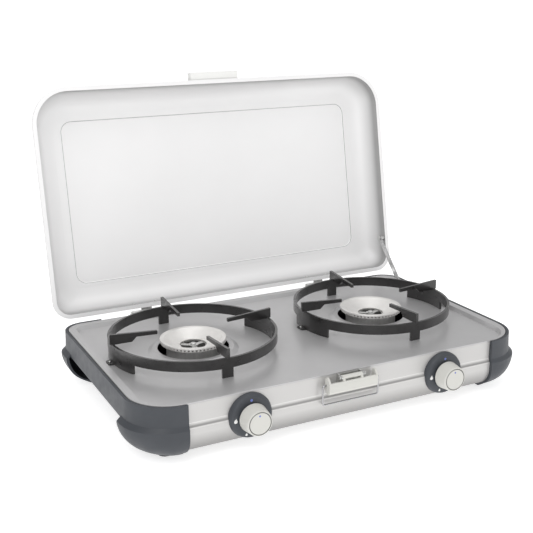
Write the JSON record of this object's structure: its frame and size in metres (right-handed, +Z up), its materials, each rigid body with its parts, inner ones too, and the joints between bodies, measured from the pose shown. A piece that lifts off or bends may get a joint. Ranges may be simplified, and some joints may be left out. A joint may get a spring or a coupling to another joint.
{
  "type": "camping stove",
  "caption": "Portable gas camping stove with a fold-up lid, burners under round pan supports, tapered control knobs, a front latch and plastic end cheeks with grips.",
  "frame": {"origin": "on the surface the stove stands on, under the middle of the hob plate", "axes": "+X to the user's right, the stove's longest side; +Y to the back, where the lid is hinged; +Z up; -Z is the feet mount's axis"},
  "size_m": [0.5218, 0.4149, 0.3777],
  "materials": {
    "lid_enamel": "satin light silver paint",
    "hob_enamel": "satin mid grey paint",
    "panel_enamel": "satin light silver paint",
    "slate_plastic": "fine matte grain, slate grey",
    "cream_plastic": "semi-gloss off-white",
    "black_enamel": "satin black enamel",
    "burner_aluminium": "satin cast and turned aluminium",
    "plated_steel": "zinc-plated steel",
    "chrome_wire": "bright plated steel",
    "brass": "machined brass",
    "rubber": "matte black rubber"
  },
  "bodies": {
    "stove_body": {"body_shell": "panel_enamel", "burner_bracket_left": "plated_steel", "burner_bracket_right": "plated_steel", "burner_cap_left": "burner_aluminium", "burner_cap_right": "burner_aluminium", "burner_cup_left": "burner_aluminium", "burner_cup_right": "burner_aluminium", "burner_screw_left": "plated_steel", "burner_screw_right": "plated_steel", "burner_vane_left": "plated_steel", "burner_vane_right": "plated_steel", "cheek_left": "slate_plastic", "cheek_right": "slate_plastic", "cheek_screws": "plated_steel", "foot_pads": "rubber", "gas_inlet": "brass", "gas_jet_left": "brass", "gas_jet_right": "brass", "gas_rail": "plated_steel", "hinge_body_leaf_left": "plated_steel", "hinge_body_leaf_right": "plated_steel", "hinge_pin_left": "plated_steel", "hinge_pin_right": "plated_steel", "hob_plate": "hob_enamel", "inlet_nut": "plated_steel", "knob_bezel_left": "slate_plastic", "knob_bezel_right": "slate_plastic", "latch_axle": "plated_steel", "latch_bracket": "plated_steel", "latch_rivets": "plated_steel", "mixing_tube_left": "plated_steel", "mixing_tube_right": "plated_steel", "support_studs": "plated_steel", "valve_body_left": "brass", "valve_body_right": "brass", "valve_gland_left": "brass", "valve_gland_right": "brass"},
    "lid": {"lid_shell": "lid_enamel", "lid_catch": "cream_plastic", "lid_rivets": "plated_steel", "hinge_lid_leaf_left": "plated_steel", "hinge_lid_leaf_right": "plated_steel", "stay_screw": "plated_steel"},
    "lid_stay_strip": {"lid_stay": "chrome_wire"},
    "latch_lever_body": {"latch_lever": "cream_plastic"},
    "latch_bail_wire": {"latch_bail": "chrome_wire"},
    "valve_plug_left_body": {"valve_plug_left": "brass"},
    "knob_left_body": {"knob_left": "cream_plastic", "valve_spindle_left": "plated_steel"},
    "pan_support_left_body": {"pan_support_left": "black_enamel"},
    "valve_plug_right_body": {"valve_plug_right": "brass"},
    "knob_right_body": {"knob_right": "cream_plastic", "valve_spindle_right": "plated_steel"},
    "pan_support_right_body": {"pan_support_right": "black_enamel"}
  },
  "joints": [
    {"name": "lid_hinge", "type": "hinge", "parent": "stove_body", "child": "lid", "pos_m": [0, 0.1555, 0.0691], "axis": [-1, 0, 0], "range_deg": [-100, 0]},
    {"name": "stay_pivot", "type": "hinge", "parent": "lid", "child": "lid_stay_strip", "pos_m": [0.2478, 0.17147, 0.12112], "axis": [-1, 0, 0], "range_deg": [0, 130]},
    {"name": "latch_lever_hinge", "type": "hinge", "parent": "stove_body", "child": "latch_lever_body", "pos_m": [-0.0035, -0.1565, 0.067], "axis": [1, 0, 0], "range_deg": [-90, 0]},
    {"name": "latch_bail_hinge", "type": "hinge", "parent": "latch_lever_body", "child": "latch_bail_wire", "pos_m": [-0.0035, -0.1545, 0.06], "axis": [-1, 0, 0], "range_deg": [0, 180]},
    {"name": "knob_turn_left", "type": "hinge", "parent": "stove_body", "child": "valve_plug_left_body", "pos_m": [-0.128, -0.13, 0.0427], "axis": [0, -1, 0], "range_deg": [0, 165]},
    {"name": "knob_push_left", "type": "slide", "parent": "valve_plug_left_body", "child": "knob_left_body", "axis": [0, 1, 0], "range_m": [0, 0.0018], "stiffness_N_per_m": 1500},
    {"name": "pan_support_lift_left", "type": "slide", "parent": "stove_body", "child": "pan_support_left_body", "axis": [0, 0, 1], "range_m": [0, 0.06]},
    {"name": "knob_turn_right", "type": "hinge", "parent": "stove_body", "child": "valve_plug_right_body", "pos_m": [0.128, -0.13, 0.0427], "axis": [0, -1, 0], "range_deg": [0, 165]},
    {"name": "knob_push_right", "type": "slide", "parent": "valve_plug_right_body", "child": "knob_right_body", "axis": [0, 1, 0], "range_m": [0, 0.0018], "stiffness_N_per_m": 1500},
    {"name": "pan_support_lift_right", "type": "slide", "parent": "stove_body", "child": "pan_support_right_body", "axis": [0, 0, 1], "range_m": [0, 0.06]}
  ],
  "couplings": [
    {"joint": "stay_pivot", "follows": "lid_hinge", "ratio": -1.28}
  ]
}
